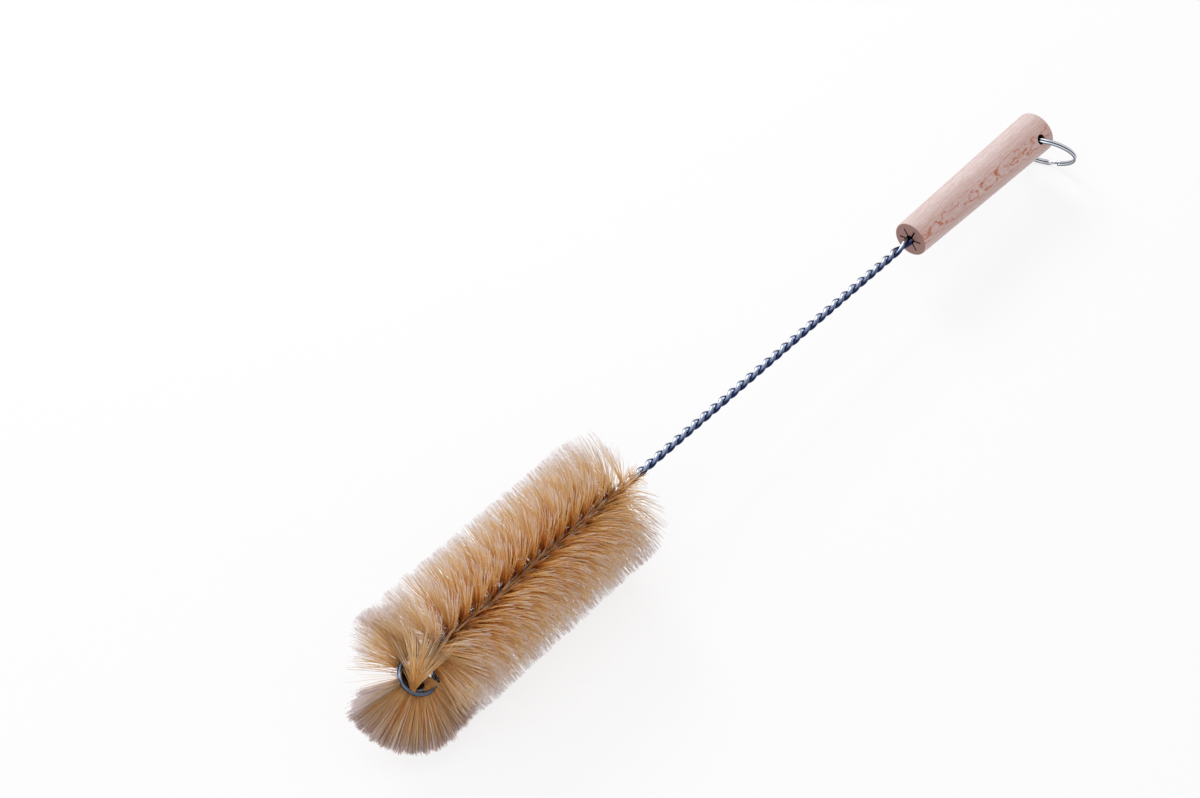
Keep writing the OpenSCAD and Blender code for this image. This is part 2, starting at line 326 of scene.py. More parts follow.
def loop_arc(angle):
    """The loop's middle line at an angle along it."""
    a = np.radians(angle)
    return loop_point(-LOOP_R * np.cos(a), LOOP_OFFSET + LOOP_R * np.sin(a))


def lead_in(p):
    """The pair's middle between the loop and the straight stem."""
    p = np.asarray(p, float)
    return loop_point(p, (LOOP_OFFSET - LOOP_R) * (1 + np.cos(np.pi * p / STRAIGHT_X)) / 2)


def pair_path():
    """Stations of the doubled wire: its middle, and the way to the first strand."""
    middles, sides = [], []
    x = WIRE_END_X
    while x > STRAIGHT_X:
        middles.append([x, 0.0, 0.0])
        sides.append(round_dir(twist(x)))
        pitch = SOCKET_PITCH if x > LOOSEN_X else STEM_PITCH if x > TIGHTEN_X else HEAD_PITCH
        x -= pitch / TWIST_STEPS
    for p in np.linspace(STRAIGHT_X, 0.4, LEAD_STEPS):
        middles.append(lead_in(p))
        sides.append(LOOP_NORMAL)
    for a in np.linspace(LOOP_FROM, LOOP_TO, LOOP_STEPS):
        s = math.radians(LOOP_TURN * (a - LOOP_FROM) / (LOOP_TO - LOOP_FROM))
        middles.append(loop_arc(a))
        sides.append(math.cos(s) * LOOP_NORMAL + math.sin(s) * loop_out(a))
    tail = loop_point(math.sin(math.radians(LOOP_TO)), math.cos(math.radians(LOOP_TO)))
    for _ in range(TAIL_STEPS):
        middles.append(middles[-1] + LOOP_TAIL / TAIL_STEPS * tail)
        sides.append(sides[-1])
    return np.array(middles), np.array(sides), tail


def make_wire(material):
    """One wire, folded double at the eye and twisted."""
    middles, sides, tail = pair_path()
    first = middles + WIRE_R * sides
    second = middles - WIRE_R * sides
    mid = middles[-1] + EYE_R * tail
    turns = np.radians(np.linspace(0, 180, EYE_STEPS))[:, None]
    eye_side = np.cos(turns) * sides[-1] + np.sin(turns) * tail
    path = np.concatenate([first, mid + EYE_R * eye_side, second[::-1]])
    outs = np.concatenate([sides, eye_side, -sides[::-1]])
    verts, faces = tube_mesh(path, outs, WIRE_R - WIRE_APART, WIRE_SIDES)
    new_object("wire_twist", verts, faces, material, "brush", ("twisted_wire",))


def ring_axes():
    """Along the cross hole, out from it to the ring's middle, and across the ring's plane."""
    hole = round_dir(RING_ANGLE)
    across = np.cross(hole, [1.0, 0.0, 0.0])
    droop = math.radians(RING_DROOP)
    out = math.cos(droop) * np.array([1.0, 0.0, 0.0]) - math.sin(droop) * across
    return hole, out, np.cross(out, hole)


def make_ring():
    """Split ring: two turns of round wire, with the step where they change places."""
    hole, out, normal = ring_axes()
    a = np.linspace(RING_STEP_AT + RING_STEP_HALF, RING_STEP_AT + 720 - RING_STEP_HALF,
                    RING_STEPS)
    r = np.radians(a)
    narrow = 1 - RING_FLAT * ((1 + np.cos(r)) / 2) ** 2
    reach = RING_R * (1 - RING_FLAT - np.cos(r) * narrow) - RING_BACK
    layer = np.sin(np.radians(90 * np.clip((a - RING_STEP_AT - 360) / RING_STEP_HALF, -1, 1)))
    path = (np.array([HOLE_X, 0.0, 0.0]) + reach[:, None] * out
            + (RING_R * np.sin(r))[:, None] * hole + (RING_WIRE_R * layer)[:, None] * normal)
    verts, faces = tube_mesh(path, np.tile(normal, (len(path), 1)), RING_WIRE_R, WIRE_SIDES)
    new_object("split_ring", verts, faces, ring_material(normal), "ring",
               ("hanging_ring",))


# ---------------------------------------------------------------- bristles

class Bristles:
    """Bristles as rows of root, middle and tip points, to be made into one mesh.

    Their colour runs from that of a root, 0, to that of a tip, 1, or over a part of that run.
    """

    def __init__(self, root, mid, tip, thick=1.0, tone=None, rng=None, run=(0.0, 1.0)):
        n = len(root)
        self.root, self.mid, self.tip = root, mid, tip
        self.first, self.last = (np.broadcast_to(v, n).astype(float) for v in run)
        self.thick = np.broadcast_to(thick, n).astype(float)
        tone = rng.uniform(0, 1, n) if tone is None else tone
        self.tone = np.broadcast_to(tone, n).astype(float)

    def points(self):
        """Points along each bristle, on a curve from its root to its tip."""
        t = np.array(BRISTLE_AT)[None, :, None]
        root, mid, tip = (v[:, None] for v in (self.root, self.mid, self.tip))
        return (1 - t) ** 2 * root + 2 * t * (1 - t) * mid + t ** 2 * tip


def bristle_tubes(points, thick, rng):
    """Thin tubes along the bristles' points: their corners, in metres, and their faces."""
    n, steps, sides = len(points), len(BRISTLE_R), BRISTLE_SIDES
    along = unit(np.gradient(points, axis=1))
    out = unit(np.cross(along, rng.normal(size=(n, 1, 3))))
    over = np.cross(along, out)
    turn = 2 * math.pi * np.arange(sides) / sides
    radius = (np.array(BRISTLE_R) * thick[:, None])[:, :, None, None]
    rings = points[:, :, None] + radius * (np.cos(turn)[:, None] * out[:, :, None]
                                           + np.sin(turn)[:, None] * over[:, :, None])
    verts = place(rings.reshape(-1, 3))
    verts[:, 2] = np.maximum(verts[:, 2], FLOOR_GAP)
    first = np.arange(n)[:, None, None] * steps * sides
    i, k = np.meshgrid(np.arange(steps - 1), np.arange(sides), indexing="ij")
    a, b = first + i * sides + k, first + i * sides + (k + 1) % sides
    walls = np.stack([a, b, b + sides, a + sides], -1).reshape(-1, 4)
    base = first[:, 0] + np.arange(sides)[::-1]
    end = first[:, 0] + (steps - 1) * sides + np.arange(sides)
    return verts, walls.tolist() + base.tolist() + end.tolist()


def bristle_object(name, groups, material, rng, replaced):
    """One mesh of bristles, with their place on the colour run and their tone as attributes."""
    rows = zip(*((g.points(), g.thick, g.tone, g.first, g.last) for g in groups))
    points, thick, tone, first, last = (np.concatenate(row) for row in rows)
    verts, faces = bristle_tubes(points, thick, rng)
    obj = new_object(name, verts, faces, material, "brush", replaced)
    tone, first, last = (v[:, None, None] for v in (tone, first, last))
    shade = first + (last - first) * np.array(BRISTLE_AT)[None, :, None]
    for label, values in (("along", shade), ("tone", tone)):
        values = np.broadcast_to(values, (len(points), len(BRISTLE_AT), BRISTLE_SIDES))
        layer = obj.data.attributes.new(label, "FLOAT", "POINT")
        layer.data.foreach_set("value", np.ascontiguousarray(values, np.float32).ravel())


def gather(tips, rng, pull):
    """Draws tips towards the nearest of some of them: how far each moves, and its tuft."""
    count = len(tips) // PER_TUFT
    centres = tips[rng.choice(len(tips), count, replace=False)]
    tree = kdtree.KDTree(count)
    for i, c in enumerate(centres):
        tree.insert(c, i)
    tree.balance()
    nearest = np.array([tree.find(p)[1] for p in tips])
    way = centres[nearest] - tips
    far = np.linalg.norm(way, axis=1, keepdims=True)
    return way * pull * np.exp(-(far / TUFT_REACH) ** 2), nearest


def tufted(root, mid, tip, rng, run):
    """Bristles that stand in small tufts and share a part of their tone there."""
    shift, tuft = gather(tip, rng, HEAD_PULL)
    shared = rng.uniform(0, 1, len(tip) // PER_TUFT)[tuft]
    tone = TUFT_TONE * shared + (1 - TUFT_TONE) * rng.uniform(0, 1, len(tip))
    thick = rng.uniform(0.8, 1.2, len(tip))
    return Bristles(root, mid + 0.5 * shift, tip + shift, thick, tone, run=run)


def wave(x, angle, rng, size, lengths):
    """A smooth uneven value over the head, from a few waves round and along it."""
    total = np.zeros_like(x)
    for length in lengths:
        turns, phase = rng.integers(-4, 5), rng.uniform(0, 2 * math.pi)
        total += np.sin(2 * math.pi * x / length + np.radians(angle) * turns + phase)
    return size * (total / len(lengths))


def parted(angle):
    """Angle of a bristle's tip round the stem, clear of the parting."""
    away = wrapped(angle - PART_ANGLE)
    far = np.abs(away)
    half, widest = (np.where(away < 0, *v) for v in (PART_HALF, PART_REACH))
    return PART_ANGLE + np.sign(away) * np.maximum(far, half + far * (1 - half / widest))


def slanted(ends, angle):
    """A station that runs from the first of two, away from the fan, to the second."""
    near, far = ends
    return (near + far) / 2 + (near - far) / 2 * np.cos(np.radians(angle - LOOP_ANGLE + 90))


def head_starts(rng, count):
    """Where bristles leave the twist, at right angles to its strands, on both sides."""
    x = rng.uniform(*HEAD_ROOTS, count)
    angle = twist(x) + 90 + 180 * rng.integers(0, 2, count) + rng.normal(0, ROOT_JITTER, count)
    angle = wrapped(angle)
    dense = np.interp(x, *HEAD_DENSE_X) * np.interp(angle, *HEAD_DENSE_AT)
    kept = rng.uniform(0, 1, count) < dense
    return x[kept], angle[kept]


def head_bristles(rng, count):
    """The head: rows of bristles that follow the twist, parted, and with slanted ends."""
    first, last = HEAD_ROOTS
    x, angle = head_starts(rng, count)
    count = len(x)
    root = on_stem(x) + CLAMP_R * round_dir(angle)
    angle += rng.normal(0, TURN_JITTER, count) + wave(x, angle, rng, *TURN_WAVE)
    tip_angle = parted(angle)
    lean = rng.normal(0, LEAN_JITTER, count)
    short = 0.5 * (lean / 3) ** 2 + np.abs(rng.normal(0, 0.5, count))
    lean += wave(x, angle, rng, *LEAN_WAVE)
    to_tip = np.clip((TIP_LEAN_X - x) / (TIP_LEAN_X - first), 0, 1) ** 2
    to_end = np.clip((x - END_LEAN_X) / (last - END_LEAN_X), 0, 1) ** 2
    lean += to_tip * (slanted(HEAD_TIP, tip_angle) + 3 - first)
    lean += to_end * (np.interp(wrapped(tip_angle), HEAD_END_AT, HEAD_END) - last)
    reach = HEAD_R + 0.3 - short + wave(x, angle, rng, *REACH_WAVE)
    reach += np.interp(x, *HEAD_WIDER_X) * np.interp(angle, *HEAD_WIDER_AT)
    tip = np.stack([x + lean, *(reach * round_dir(tip_angle)[:, 1:].T)], -1)
    rise = PART_FOOT * rng.uniform(*PART_FOOT_SHARE, (count, 1))
    foot = root + rise * unit(np.stack([lean / HEAD_R, *round_dir(angle)[:, 1:].T], -1))
    mid = foot + 0.3 * (tip - foot) + rng.normal(0, 0.55, (count, 3))
    head = tufted(root, mid, tip, rng, (np.interp(x, *HEAD_PALE_X), 1.0))
    # Painted shade: beside the parting's lower side the bristles keep less of their tone.
    head.tone *= np.interp(tip_angle - PART_ANGLE, *PARTING_SHADE_AT)
    return head


def eye_bristles(rng, count):
    """The head's first bristles on the fan's side, which lie over the wire's end."""
    x = rng.uniform(8, 14, count)
    angle = LOOP_ANGLE + rng.uniform(52, 86, count)
    root = on_stem(x) + 1.2 * round_dir(angle)
    tip = root + rng.uniform(20, 29, count)[:, None] * round_dir(angle + rng.normal(0, 4, count))
    tip[:, 0] -= rng.uniform(0, 8, count)
    mid = (root + tip) / 2 + rng.normal(0, 0.5, (count, 3))
    return Bristles(root, mid, tip, rng.uniform(0.8, 1.1, count), rng=rng, run=(0.2, 0.9))


def spine_bristles(rng, count):
    """Short and broken bristles that lie over the wire in the parting."""
    x = rng.uniform(HEAD_ROOTS[0] + 4, HEAD_ROOTS[1], count)
    angle = PART_ANGLE + rng.normal(0, 9, count)
    root = on_stem(x) + 1.5 * round_dir(angle)
    tip = root + rng.uniform(8, 17, count)[:, None] * round_dir(angle + rng.normal(0, 6, count))
    tip[:, 0] += rng.normal(0, 2.5, count)
    mid = (root + tip) / 2 + rng.normal(0, 0.4, (count, 3))
    return Bristles(root, mid, tip, rng.uniform(0.7, 1.0, count), rng.uniform(0.05, 0.9, count))


def core_bristles(rng, count):
    """Short bristles all round the wire, which close the gaps between the rows beside it, in dark
    tones that paint shade into those gaps.
    """
    x = rng.uniform(HEAD_ROOTS[0] + 4, HEAD_LENGTH, count)
    angle = rng.uniform(-180, 180, count)
    root = on_stem(x) + CLAMP_R * round_dir(angle)
    tip = root + rng.uniform(5, 11, count)[:, None] * round_dir(angle + rng.normal(0, 10, count))
    tip[:, 0] += rng.normal(0, 1.5, count)
    # Their dark tones are painted shade.
    return Bristles(root, (root + tip) / 2, tip, rng.uniform(0.9, 1.2, count),
                    rng.uniform(0.002, 0.012, count), run=(0.0, 0.3))


def stray_bristles():
    """Two dark hairs that stick out on the head's upper side."""
    root = np.array([[88.0, 0, 0] + 23 * round_dir(12.0), [80.0, 0, 0] + 24 * round_dir(14.0)])
    tip = np.array([[91.0, 0, 0] + 31 * round_dir(8.0), [84.0, 0, 0] + 30 * round_dir(12.0)])
    return Bristles(root, (root + tip) / 2, tip, [1.3, 1.0], [0.0, 0.004])


def fan_bristles(rng, count):
    """The fan round the loop, with a strip of bristles at its start given pale colours as painted
    light.
    """
    strip = rng.uniform(0, 1, count) < FAN_STRIP_SHARE
    a = np.where(strip, rng.uniform(*FAN_STRIP_AT, count), rng.uniform(*FAN_AT, count))
    lean = np.interp(a, *FAN_LEAN) + rng.normal(0, 3.5, count)
    scallop = np.sin(np.radians(a) * 31) + np.sin(np.radians(a) * 47 + 2)
    reach = FAN_R - np.abs(rng.normal(0, 0.7, count)) + 0.45 * scallop - LOOP_R
    root = loop_arc(np.clip(a, LOOP_FROM, LOOP_TO)) + rng.normal(0, 0.4, (count, 3))
    cover = np.clip((a - FAN_COVER_FROM) / FAN_COVER_OVER, 0, 1)[:, None]
    root += cover * (1.5 * LOOP_NORMAL - 3.0 * loop_out(a))
    tip = root + reach[:, None] * loop_out(a + rng.normal(0, 1.6, count), lean)
    mid = (root + tip) / 2 + rng.normal(0, 0.3, (count, 3))
    shift = gather(tip, rng, FAN_PULL)[0]
    # Painted light: the strip's bristles get pale tones and a paler part of the colour run.
    tone = np.where(strip, rng.uniform(0.6, 1, count), rng.uniform(0.05, 1, count) ** 1.5)
    return Bristles(root, mid + 0.5 * shift, tip + shift, rng.uniform(0.8, 1.2, count), tone,
                    run=(np.where(strip, rng.uniform(0.5, 1, count), FAN_RUN[0]),
                         np.where(strip, 1.0, FAN_RUN[1])))


def loop_start_bristles(rng, count):
    """Between the head and the loop the wires run side by side, so the bristles stay in a sheet."""
    p = rng.uniform(-4, STRAIGHT_X, count)
    on_arc = p < 0
    a = np.where(on_arc, LOOP_FROM + np.degrees(-p / LOOP_R), -90.0)
    root = np.where(on_arc[:, None], loop_arc(a), lead_in(np.maximum(p, 0)))
    lean = rng.normal(0, 13, count)
    out = loop_out(a + rng.normal(0, 5, count) + np.interp(p, [-4, 9], [12, -2]), lean)
    reach = np.interp(a, [-90, -68], [HEAD_R - 4, HEAD_R - 11]) - np.abs(rng.normal(0, 1.2, count))
    tip = root + reach[:, None] * out
    mid = (root + tip) / 2 + rng.normal(0, 0.4, (count, 3))
    return tufted(root, mid, tip, rng, (0.5, 1.0))


def gap_bristles(rng, count):
    """The few bristles that cross the gap between the head and the fan."""
    a = rng.uniform(-74, -18, count)
    root = loop_arc(a)
    tip = root + rng.uniform(14, 26, count)[:, None] * loop_out(a, rng.normal(5, 10, count))
    return Bristles(root, (root + tip) / 2 + rng.normal(0, 1, (count, 3)), tip, 0.7, rng=rng)


def tuft_bristles(rng, count):
    """The tuft that stands up inside the loop and spreads back into the head."""
    foot = loop_arc(LOOP_TUFT_AT) + 1.5 * LOOP_NORMAL
    a = LOOP_TUFT_WAY + rng.uniform(-32, 42, count) + rng.normal(0, 4, count)
    lean = 20 + rng.normal(0, 16, count)
    reach = rng.uniform(12, 32, count)
    root = foot + rng.normal(0, 0.5, (count, 3))
    tip = root + reach[:, None] * loop_out(a, lean)
    mid_way = LOOP_TUFT_WAY + 0.7 * (a - LOOP_TUFT_WAY)
    mid = root + 10 * loop_out(mid_way, lean * 1.1)
    return Bristles(root, mid, tip, rng.uniform(0.8, 1.1, count), rng.uniform(0.1, 1.0, count),
                    run=(0.3, 0.9))


def hollow_bristles(rng, count):
    """The inner halves of the loop's bristles, which cross behind it, painted a dark tone as shade
    in its hollow.
    """
    a = rng.uniform(LOOP_FROM, LOOP_TO, count)
    root = loop_arc(a) - 1.0 * LOOP_NORMAL
    way = -loop_out(a + rng.normal(0, 15, count), rng.uniform(15, 50, count))
    tip = root + rng.uniform(10, 18, count)[:, None] * way
    # Their dark tone is painted shade.
    return Bristles(root, (root + tip) / 2, tip, rng.uniform(0.8, 1.1, count), 0.003)


def sheath_bristles(rng, count):
    """Short ends that lie along the wire where the head begins."""
    x = rng.uniform(HEAD_LENGTH, HEAD_LENGTH + 14, count)
    angle = rng.uniform(0, 360, count)
    root = on_stem(x) + 1.6 * round_dir(angle)
    length = rng.uniform(3, 12, count) * np.interp(x, [HEAD_LENGTH, HEAD_LENGTH + 14], [1, 0.5])
    steep = np.radians(rng.uniform(15, 60, count))
    tip = root + length[:, None] * (np.cos(steep)[:, None] * np.array([1.0, 0, 0])
                                    + np.sin(steep)[:, None] * round_dir(angle))
    return Bristles(root, (root + tip) / 2 + rng.normal(0, 0.3, (count, 3)), tip, 0.8, rng=rng)


def make_bristles(material):
    """The head in pieces along the stem, then the fan, then the groups at the head's ends."""
    rng = np.random.default_rng(SEED)
    head = head_bristles(rng, HEAD_COUNT)
    which = np.minimum((head.root[:, 0] / HEAD_LENGTH * HEAD_PIECES).astype(int), HEAD_PIECES - 1)
    for band in range(HEAD_PIECES):
        pick = which == band
        part = Bristles(head.root[pick], head.mid[pick], head.tip[pick], head.thick[pick],
                        head.tone[pick], run=(head.first[pick], head.last[pick]))
        bristle_object(f"bristles_{band + 1}", [part], material, rng, ("bristle_head",))
    groups = [fan_bristles(rng, FAN_COUNT), tuft_bristles(rng, TUFT_COUNT),
              gap_bristles(rng, GAP_COUNT), hollow_bristles(rng, HOLLOW_COUNT)]
    bristle_object("bristles_fan", groups, material, rng, ("tip_fan",))
    groups = [loop_start_bristles(rng, LOOP_START_COUNT), sheath_bristles(rng, SHEATH_COUNT),
              spine_bristles(rng, SPINE_COUNT), eye_bristles(rng, EYE_COUNT),
              stray_bristles(), core_bristles(rng, CORE_COUNT)]
    bristle_object("bristles_ends", groups, material, rng, ("bristle_head",))


# ---------------------------------------------------------------- materials

class Nodes:
    """Short forms for building the nodes of a material or a world."""

    def __init__(self, owner, output="ShaderNodeOutputMaterial"):
        owner.use_nodes = True
        self.owner = owner
        self.tree = owner.node_tree
        self.tree.nodes.clear()
        self.output = self.tree.nodes.new(output)

    def add(self, kind, **inputs):
        """A node with values or links for its inputs, by their names."""
        node = self.tree.nodes.new("ShaderNode" + kind)
        for key, value in inputs.items():
            self.set(node.inputs[key.replace("_", " ")], value)
        return node

    def set(self, socket, value):
        """Links a socket to another one, or gives it a plain value."""
        if isinstance(value, bpy.types.NodeSocket):
            self.tree.links.new(value, socket)
        else:
            socket.default_value = value

    def math(self, operation, a, b=0.0):
        """A sum, product or test of two numbers."""
        node = self.tree.nodes.new("ShaderNodeMath")
        node.operation = operation
        self.set(node.inputs[0], a)
        self.set(node.inputs[1], b)
        return node.outputs[0]

    def vector(self, operation, a, b=(0.0, 0.0, 0.0)):
        """The same for two vectors."""
        node = self.tree.nodes.new("ShaderNodeVectorMath")
        node.operation = operation
        self.set(node.inputs[0], a)
        self.set(node.inputs[1], b)
        return node.outputs["Value" if operation in ("DOT_PRODUCT", "LENGTH") else "Vector"]

    def ramp(self, fac, stops):
        """Colours that run from stop to stop as a value goes from 0 to 1."""
        node = self.tree.nodes.new("ShaderNodeValToRGB")
        elements = node.color_ramp.elements
        while len(elements) < len(stops):
            elements.new(0.5)
        for element, (at, colour) in zip(elements, stops):
            element.position = at
            element.color = (*colour, 1.0)
        self.set(node.inputs[0], fac)
        return node.outputs[0]

    def mix(self, fac, a, b, blend="MIX"):
        """One colour over another, by a share."""
        node = self.tree.nodes.new("ShaderNodeMix")
        node.data_type = "RGBA"
        node.blend_type = blend
        for socket, value in ((node.inputs[0], fac), (node.inputs[6], a), (node.inputs[7], b)):
            plain = isinstance(value, tuple) and len(value) == 3
            self.set(socket, (*value, 1.0) if plain else value)
        return node.outputs[2]

    def blend(self, fac, first, second):
        """Two shaders in one, by the second one's share."""
        node = self.add("MixShader")
        for socket, value in zip(node.inputs, (fac, first.outputs[0], second.outputs[0])):
            self.set(socket, value)
        return node.outputs[0]

    def finish(self, shader):
        """The material or world, with a shader as its surface."""
        self.tree.links.new(shader, self.output.inputs["Surface"])
        return self.owner


def material_nodes(name):
    """The nodes of a new material."""
    return Nodes(bpy.data.materials.new(name))


def srgb(r, g, b):
    """A colour written as 0 to 255 values, as the shader's own linear one."""
    return tuple(((c / 255 + 0.055) / 1.055) ** 2.4 if c > 10 else c / 255 / 12.92
                 for c in (r, g, b))


def grey(value):
    """A linear grey."""
    return (value, value, value)


def bristle_material():
    """Natural bristle that light passes through: paler towards its tip, with its own tone, which on
    some groups is painted shade.
    """
    n = material_nodes("bristle")
    along = n.add("Attribute")
    along.attribute_name = "along"
    tone = n.add("Attribute")
    tone.attribute_name = "tone"
    length = n.ramp(along.outputs["Fac"], [
        (0.0, srgb(250, 180, 82)), (0.15, srgb(254, 209, 128)), (0.5, srgb(254, 228, 174)),
        (0.8, srgb(253, 236, 204)), (1.0, srgb(240, 232, 233))])
    # The lowest tones are dark brown: the stray hairs' own colour, and painted shade on the core
    # and hollow bristles and beside the parting.
    shade = n.ramp(tone.outputs["Fac"], [
        (0.002, srgb(84, 52, 30)), (0.006, srgb(222, 176, 118)), (0.12, srgb(252, 240, 222)),
        (0.2, grey(1.0))])
    pale = n.ramp(tone.outputs["Fac"], [
        (0.7, grey(0.0)), (0.9, grey(0.75)), (1.0, grey(1.0))])
    outer = n.ramp(along.outputs["Fac"], [(0.3, grey(0)), (0.8, grey(1))])
    pale = n.math("MULTIPLY", pale, outer)
    colour = n.mix(1.0, length, shade, "MULTIPLY")
    colour = n.mix(pale, colour, srgb(254, 248, 248))
    shader = n.add("BsdfPrincipled", Base_Color=colour, Roughness=0.2)
    shader.inputs["Specular IOR Level"].default_value = 0.5
    through = n.add("BsdfTranslucent", Color=colour)
    return n.finish(n.blend(BRISTLE_THROUGH, shader, through))


def own_coords(n):
    """Coordinates in the brush's own frame, in millimetres."""
    mapping = n.add("Mapping", Vector=n.add("TexCoord").outputs["Object"])
    mapping.vector_type = "TEXTURE"
    mapping.inputs["Location"].default_value = ORIGIN
    mapping.inputs["Rotation"].default_value = (0.0, math.atan2(-STEM_DIR[2], STEM_DIR[0]), 0.0)
    mapping.inputs["Scale"].default_value = (MM, MM, MM)
    return mapping.outputs[0]


def noise(n, coords, scale, detail=2.0):
    """Noise, with its scale per millimetre along each axis."""
    mapping = n.add("Mapping", Vector=coords, Scale=scale)
    return n.add("TexNoise", Vector=mapping.outputs[0], Scale=1.0, Detail=detail).outputs["Fac"]


def wire_material():
    """Galvanised wire with painted light and shade: a painted highlight on one side of the stem,
    painted shade on the other and in the crease between its strands, and painted shade in the head.
    """
    n = material_nodes("galvanised_wire")
    own = own_coords(n)
    mottle = noise(n, own, (1.0, 1.0, 1.0), 4.0)
    x, y, z = n.add("SeparateXYZ", Vector=own).outputs
    across = n.add("CombineXYZ", Y=y, Z=z).outputs[0]
    towards = n.vector("DOT_PRODUCT", n.vector("NORMALIZE", across),
                       tuple(round_dir(WIRE_SHADE_ANGLE)))
    # Painted light and shade round the stem: a dark edge, a painted highlight near its top, then
    # painted navy shade on its lower side.
    colour = n.ramp(n.math("DIVIDE", n.math("ADD", towards, 1.0), 2.0), [
        (0.0, srgb(80, 90, 116)), (0.04, srgb(112, 122, 148)), (0.1, srgb(210, 218, 234)),
        (0.24, srgb(192, 202, 222)), (0.36, srgb(140, 152, 180)), (0.6, srgb(84, 96, 128)),
        (0.75, srgb(32, 42, 76))])
    spangle = n.ramp(mottle, [(0.35, grey(0.7)), (0.65, grey(1))])
    colour = n.mix(1.0, colour, spangle, "MULTIPLY")
    # Painted shade in the crease where the two strands touch, near the stem's middle.
    groove_shade = n.ramp(n.math("DIVIDE", n.vector("LENGTH", across), 2 * WIRE_R), [
        (0.1, grey(0.8)), (0.4, grey(0.0))])
    colour = n.mix(groove_shade, colour, srgb(30, 40, 74))
    # Painted shade among the bristles: in the head the wire is darkened and made less metallic.
    inside = n.math("MULTIPLY", n.math("LESS_THAN", x, HEAD_LENGTH),
                    n.math("GREATER_THAN", x, STRAIGHT_X))
    inside = n.math("MULTIPLY", inside, WIRE_SHADE_IN_HEAD)
    colour = n.mix(inside, colour, srgb(44, 36, 34))
    loop = n.math("MULTIPLY", n.math("LESS_THAN", x, STRAIGHT_X), LOOP_GREY)
    colour = n.mix(loop, colour, srgb(96, 104, 122))
    rough = n.ramp(mottle, [(0.3, grey(0.18)), (0.7, grey(0.3))])
    bump = n.add("Bump", Height=mottle, Strength=0.15, Distance=0.0001)
    shader = n.add("BsdfPrincipled", Base_Color=colour, Roughness=rough,
                   Metallic=n.math("SUBTRACT", 1.0, inside), Normal=bump.outputs[0])
    return n.finish(shader.outputs[0])


def ring_material(normal):
    """Nickel, with painted shade where the two turns meet and on their outer sides, and a painted
    highlight on each turn between.
    """
    n = material_nodes("nickel_ring")
    own = own_coords(n)
    mottle = noise(n, own, (1.5, 1.5, 1.5), 3.0)
    rough = n.ramp(mottle, [(0.3, grey(0.1)), (0.7, grey(0.2))])
    off = n.vector("DOT_PRODUCT", n.vector("SUBTRACT", own, (HOLE_X, 0.0, 0.0)), tuple(normal))
    side = n.math("DIVIDE", n.math("ABSOLUTE", off), 2 * RING_WIRE_R)
    # Painted shade where the turns touch and at their outer sides, with a painted highlight band on
    # each turn.
    colour = n.ramp(side, [
        (0.08, srgb(40, 44, 58)), (0.25, srgb(178, 182, 192)), (0.5, srgb(216, 219, 226)),
        (0.8, srgb(150, 155, 168)), (0.97, srgb(70, 76, 92))])
    shader = n.add("BsdfPrincipled", Base_Color=colour, Roughness=rough, Metallic=1.0)
    return n.finish(shader.outputs[0])


def wood_grain(n, own, across):
    """Beech whose growth rings show as grain or, face on, as loops: its colour and fibres."""
    facing = tuple(round_dir(WOOD_LOOPS_ANGLE))
    flat = n.vector("DOT_PRODUCT", n.vector("NORMALIZE", across), facing)
    warp = noise(n, own, (0.15, 0.28, 0.28), 3.0)
    rings = n.math("ADD", n.math("DIVIDE", n.vector("DOT_PRODUCT", across, facing), WOOD_RING),
                   n.math("MULTIPLY", warp, WOOD_WARP))
    late = n.ramp(n.math("FRACT", rings), [(0.5, grey(0)), (0.9, grey(1)), (1.0, grey(0))])
    loops = n.ramp(flat, [(0.88, grey(0)), (0.975, grey(1))])
    patches = n.ramp(noise(n, own, (0.3, 0.6, 0.6), 2.0), [(0.38, grey(0)), (0.54, grey(1))])
    fibre = noise(n, own, (0.12, 3.2, 3.2), 5.0)
    broad = noise(n, own, (0.012, 0.2, 0.2), 3.0)
    pores = noise(n, own, (1.1, 6.0, 6.0), 2.0)

    colour = n.ramp(broad, [(0.35, srgb(208, 190, 187)), (0.65, srgb(221, 209, 207))])
    colour = n.mix(n.math("MULTIPLY", late, 0.5), colour, srgb(198, 171, 161))
    colour = n.mix(0.6, colour, n.ramp(fibre, [(0.35, srgb(214, 190, 178)), (0.6, grey(1))]),
                   "MULTIPLY")
    band = n.ramp(flat, [(0.55, grey(0)), (0.92, grey(1))])
    colour = n.mix(n.math("MULTIPLY", band, 0.45), colour, srgb(198, 160, 146))
    colour = n.mix(n.ramp(pores, [(0.55, grey(0)), (0.66, grey(0.55))]), colour,
                   srgb(172, 118, 98))
    fleck = n.math("MULTIPLY", n.math("MULTIPLY", late, loops), patches)
    return n.mix(fleck, colour, srgb(178, 86, 38)), fibre


def in_slits(n, x, radius):
    """1 inside the slits and the socket, which start just behind the near face."""
    slit = n.math("MULTIPLY", n.math("GREATER_THAN", x, HANDLE_X + 0.05),
                  n.math("LESS_THAN", radius, SLIT_REACH))
    return n.math("MULTIPLY", slit, n.math("LESS_THAN", x, HANDLE_X + SOCKET_DEPTH + 1.0))


def in_cross_hole(n, x, radius):
    """1 on the wall of the cross hole, which lies under the handle's skin."""
    taper = (HANDLE_R[1] - HANDLE_R[0]) / HANDLE_LENGTH
    skin = n.math("ADD", n.math("MULTIPLY", n.math("SUBTRACT", x, HANDLE_X), taper),
                  HANDLE_R[0] - 0.5)
    from_hole = n.math("ABSOLUTE", n.math("SUBTRACT", x, HOLE_X))
    return n.math("MULTIPLY", n.math("LESS_THAN", radius, skin),
                  n.math("LESS_THAN", from_hole, HOLE_R + 0.2))


